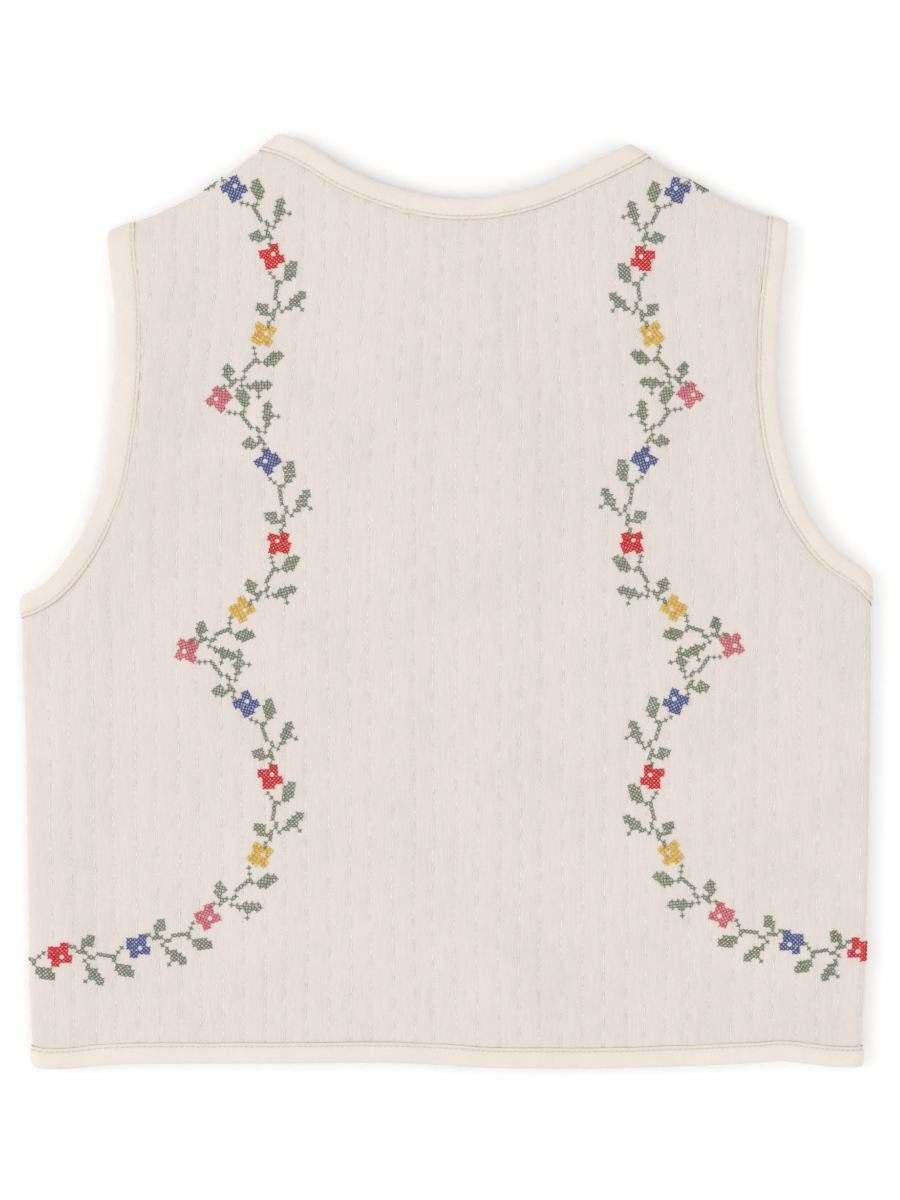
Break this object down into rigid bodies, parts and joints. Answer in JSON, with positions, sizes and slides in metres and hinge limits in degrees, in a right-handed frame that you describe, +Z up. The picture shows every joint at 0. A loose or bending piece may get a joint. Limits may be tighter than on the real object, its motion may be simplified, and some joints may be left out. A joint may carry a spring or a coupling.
{
  "type": "child's quilted embroidered waistcoat, laid flat",
  "caption": "Sleeveless quilted cotton waistcoat with bound edges and an open front, lying flat with its back up; scalloped cross-stitch flower vines run down the back.",
  "frame": {"origin": "centre of the bounding box's bottom face, on the surface the waistcoat lies on", "axes": "+Z up, out of the back of the waistcoat; +Y along the length, from the hem to the neck; +X across the chest, to the right as the back is seen"},
  "size_m": [0.3758, 0.411, 0.009],
  "materials": {
    "quilted_cotton": "soft matte off-white quilted cotton voile",
    "binding_cotton": "soft matte cream cotton binding",
    "thread_white": "matte off-white sewing thread",
    "thread_green": "soft sage green stranded cotton",
    "thread_red": "soft red stranded cotton",
    "thread_blue": "soft denim blue stranded cotton",
    "thread_yellow": "soft golden yellow stranded cotton",
    "thread_pink": "soft raspberry pink stranded cotton"
  },
  "bodies": {
    "root": {"back": "quilted_cotton", "front_left": "quilted_cotton", "front_right": "quilted_cotton", "neck_binding": "binding_cotton", "hem_binding": "binding_cotton", "armhole_binding_left": "binding_cotton", "armhole_binding_right": "binding_cotton", "front_edge_binding_left": "binding_cotton", "front_edge_binding_right": "binding_cotton"}
  },
  "joints": []
}
